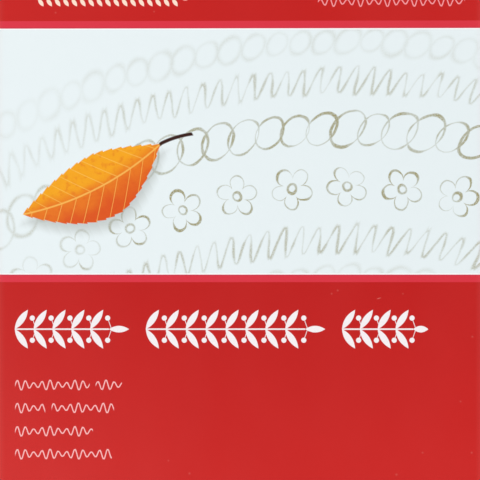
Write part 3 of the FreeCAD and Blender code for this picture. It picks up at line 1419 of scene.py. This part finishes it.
@dataclass
class TrimmedStack(ABC):
    """A flat rectangular body seen from its cut edges: a skin of rows round it, with two caps.

    Each row has a height and how far it lies in from the left, right and tail; the head is flush.
    """

    name: str
    node: str
    slot: str
    steps_across: int = 50
    steps_along: int = 66
    waver: float = 0.012
    slow_turns: int = 9
    quick_turns: int = 23
    row_phase: float = 0.7
    quick_phase: float = 2.3

    def __post_init__(self) -> None:
        """Reads the body's box from the frame, in millimetres."""
        low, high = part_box(self.node)
        self.low, self.high = np.array(low) / MM, np.array(high) / MM

    @abstractmethod
    def rows(self) -> tuple[np.ndarray, np.ndarray]:
        """Each row's height, from the base up, and its three insets, in millimetres."""

    @abstractmethod
    def finish(self) -> bpy.types.Material:
        """The body's material."""

    def borders(self, ring: np.ndarray) -> np.ndarray:
        """Moves the cap's border in for each row, by the row's insets and a slow waver.

        The waver is 1 plus half of each of two sines of the place round the border. Their phase
        differs from row to row.

        Args:
            ring: The cap's border: X and Y of each vertex, in millimetres.

        Returns:
            Each row's border, from the base up: X, Y and Z of each vertex, in millimetres.
        """
        heights, insets = self.rows()
        phase = np.arange(len(heights))[:, None] * self.row_phase
        run = np.arange(len(ring))[None, :] / len(ring) * FULL_TURN
        slow = np.sin(self.slow_turns * run + phase)
        quick = np.sin(self.quick_turns * run + self.quick_phase * phase)
        waver = self.waver * (1 + 0.5 * slow + 0.5 * quick)
        left, right, tail = (insets[:, side, None] + waver for side in range(3))
        x, y = ring.T
        rows = np.empty((len(heights), len(ring), 3))
        rows[..., 0] = x + (x == self.low[0]) * left - (x == self.high[0]) * right
        rows[..., 1] = y + (y == self.low[1]) * tail
        rows[..., 2] = heights[:, None]
        return rows

    def build(self) -> bpy.types.Object:
        """Builds the closed body: a grid at the base and at the top, and the rows between them.

        Returns:
            The piece.
        """
        xs = np.linspace(self.low[0], self.high[0], self.steps_across + 1)
        ys = np.linspace(self.low[1], self.high[1], self.steps_along + 1)
        grid = np.stack(np.meshgrid(xs, ys), axis=-1).reshape(-1, 2)
        border = grid_rim(np.arange(len(grid)).reshape(len(ys), len(xs)))
        rows = self.borders(grid[border])
        caps, quads = [], []
        for at, row in ((0, rows[0]), (1, rows[-1])):
            points = np.column_stack([grid, np.full(len(grid), row[0, 2])])
            points[border] = row
            caps.append(points)
            quads.append(grid_quads(len(ys), len(xs), at * len(grid), flip=at == 0))
        between = rows[1:-1]
        numbers = 2 * len(grid) + np.arange(len(between) * len(border)).reshape(-1, len(border))
        numbers = np.concatenate([border[None, :], numbers, border[None, :] + len(grid)])
        after = np.roll(numbers, -1, axis=1)
        quads.append(np.stack([numbers[:-1], after[:-1], after[1:], numbers[1:]], axis=-1).reshape(-1, 4))
        points = np.concatenate([*caps, between.reshape(-1, 3)])
        return mesh_object(self.name, points * MM, np.concatenate(quads))

    def dress(self, piece: bpy.types.Object) -> None:
        """Gives the body its finish and puts it in the solid's place on the pad.

        Args:
            piece: The body.
        """
        piece.data.materials.append(self.finish())
        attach(piece, "pad")
        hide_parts(self.node)


@dataclass
class LeafBlock(TrimmedStack):
    """The writing leaves: each one's edge stands out a little from the groove between two."""

    leaves: int = 50
    side_scatter: float = 0.12
    tail_scatter: float = 0.1
    turns_per_leaf: tuple[float, float, float] = (0.381, 0.274, 0.437)
    groove_depth: float = 0.03
    groove_share: float = 0.2

    @property
    def thickness(self) -> float:
        """One leaf's thickness."""
        return float(self.high[2] - self.low[2]) / self.leaves

    def rows(self) -> tuple[np.ndarray, np.ndarray]:
        """Stacks three rows for each leaf: the groove under it, its lower side and its upper side.

        The scatter is half of 1 plus a sine of the leaf's number, as in the solid. A groove lies
        behind the deeper of its two leaves.

        Returns:
            The rows' heights and insets.
        """
        number = np.arange(self.leaves)
        deepest = np.array([self.side_scatter, self.side_scatter, self.tail_scatter])
        turns = np.array(self.turns_per_leaf)
        scatter = deepest * (0.5 + 0.5 * np.sin(FULL_TURN * turns * number[:, None]))
        under, over = np.append(scatter[:1], scatter, axis=0), np.append(scatter, scatter[-1:], axis=0)
        grooves = np.maximum(under, over) + self.groove_depth
        insets = np.stack([grooves[:-1], scatter, scatter], axis=1).reshape(-1, 3)
        shares = np.array([0.0, self.groove_share, 1.0 - self.groove_share])
        heights = np.append((number[:, None] + shares).ravel(), self.leaves)
        return self.low[2] + self.thickness * heights, np.append(insets, grooves[-1:], axis=0)

    def finish(self) -> bpy.types.Material:
        """The leaves' paper."""
        return WritingPaper(self.thickness, float(self.low[2])).material()


@dataclass
class BackingBoard(TrimmedStack):
    """The grey board, whose cut edges are a little crushed by the knife."""

    edge_crush: float = 0.05
    ply_inset: float = 0.01

    def rows(self) -> tuple[np.ndarray, np.ndarray]:
        """Rounds the two rims by a crushed edge, and lets the middle plies stand out a hair.

        Returns:
            The rows' heights and insets.
        """
        base, top, crush = self.low[2], self.high[2], self.edge_crush
        middle = (base + top) / 2
        heights = np.array([base, base + crush * 0.4, base + 2 * crush, middle, top - crush, top])
        insets = np.array([crush, crush * 0.35, self.ply_inset, 0.0, self.ply_inset, crush * 0.8])
        return heights, np.repeat(insets[:, None], 3, axis=1)

    def finish(self) -> bpy.types.Material:
        """The board's pulp."""
        return GreyBoard().material()


@dataclass
class GumFilm(TrimmedStack):
    """The dried gum: a thin film over the head of the leaves and the board, drawn in at its ends."""

    drawn_in: float = 0.045
    end_phase: float = 1.9
    levels: int = 13

    def rows(self) -> tuple[np.ndarray, np.ndarray]:
        """Draws each row in at its two ends by 1 plus half a sine of its number, times drawn_in.

        Returns:
            The rows' heights and insets.
        """
        ends = self.drawn_in * (1 + 0.5 * np.sin(self.end_phase * np.arange(self.levels)))
        insets = np.stack([ends, ends[::-1], np.zeros(self.levels)], axis=1)
        return np.linspace(self.low[2], self.high[2], self.levels), insets

    def finish(self) -> bpy.types.Material:
        """The film's dried gum."""
        return DriedGum().material()


@dataclass(frozen=True)
class Studio:
    """The pale floor, the soft light and the camera, which looks straight down on the cover."""

    frame_width: float = 134.08
    lens: float = 85.0
    sensor: float = 36.0
    floor_half: float = 12.0
    floor_steps: int = 49
    flat_reach: float = 6.0
    sweep: float = 0.12
    horizon_light: float = 0.42
    wall_light: float = 1.23
    wall_rise: Run = (0.25, 0.62)
    ceiling_light: float = 0.1
    ceiling_fall: Run = (0.72, 0.93)
    sun_strength: float = 1.37
    sun_softness: float = math.radians(22)
    sun_turn: tuple[float, float, float] = (math.radians(31), math.radians(-33), 0.0)

    def camera(self, cover_top: float) -> None:
        """Stands the camera over the middle of the cover, the head up in the picture.

        Args:
            cover_top: The height of the cover's face, in metres.
        """
        data = bpy.data.cameras.new("camera")
        data.type = "PERSP"
        data.lens, data.sensor_width = self.lens, self.sensor
        data.clip_start, data.clip_end = 0.01, 3 * self.floor_half
        camera = bpy.data.objects.new("camera", data)
        camera.location = (0, 0, cover_top + self.frame_width * MM * self.lens / self.sensor)
        bpy.context.scene.collection.objects.link(camera)
        bpy.context.scene.camera = camera

    def floor(self) -> None:
        """Lays the floor: flat to flat_reach, then up by sweep times the square of the rest."""
        side = np.linspace(-self.floor_half, self.floor_half, self.floor_steps)
        across, along = np.meshgrid(side, side)
        rest = np.clip(np.hypot(across, along), self.flat_reach, self.floor_half) - self.flat_reach
        points = np.stack([across, along, self.sweep * rest**2], axis=-1).reshape(-1, 3)
        floor = mesh_object("studio_floor", points, grid_quads(self.floor_steps, self.floor_steps))
        floor.data.materials.append(StudioFloor().material())

    def light(self) -> None:
        """Lights the pad from bright upper walls under a dim ceiling, with one soft key from the left."""
        world = bpy.data.worlds.new("studio")
        bpy.context.scene.world = world
        world.use_nodes = True
        tree = world.node_tree
        source = tree.nodes.new("ShaderNodeTexCoord")
        split = tree.nodes.new("ShaderNodeSeparateXYZ")
        feed(split.inputs[0], source.outputs["Generated"])
        height = Tone(tree, split.outputs[2])
        walls = height.rise(*self.wall_rise) * (self.wall_light - self.horizon_light) + self.horizon_light
        glow = height.fall(*self.ceiling_fall) * (walls - self.ceiling_light) + self.ceiling_light
        background = next(node for node in tree.nodes if node.type == "BACKGROUND")
        feed(background.inputs["Color"], (1.0, 1.0, 1.0))
        feed(background.inputs["Strength"], glow)
        data = bpy.data.lights.new("key", "SUN")
        data.energy, data.angle = self.sun_strength, self.sun_softness
        key = bpy.data.objects.new("key", data)
        key.rotation_euler = self.sun_turn
        bpy.context.scene.collection.objects.link(key)
        bpy.context.scene.view_settings.view_transform = "Standard"


def main() -> None:
    """Dresses the pad piece by piece."""
    logging.basicConfig(level=logging.INFO, format="%(name)s: %(message)s")
    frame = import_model()
    card = CoverCard()
    cover, tuck = card.build()
    card.dress(cover, tuck, np.array(frame["joints"][0]["pos_m"]))
    pieces = [cover, tuck]
    stacks = (
        LeafBlock("leaf_block", "writing_sheets", "writing_paper"),
        BackingBoard("backing_board", "back_board", "grey_board"),
        GumFilm("gum_film", "padding_gum", "gum_film", steps_across=90, steps_along=2, waver=0.006),
    )
    for stack in stacks:
        pieces.append(stack.build())
        stack.dress(pieces[-1])
    for piece in pieces:
        LOG.info("%s has %d faces", piece.name, len(piece.data.polygons))
    studio = Studio()
    studio.camera(card.top * MM)
    studio.floor()
    studio.light()


if __name__ == "__main__":
    main()
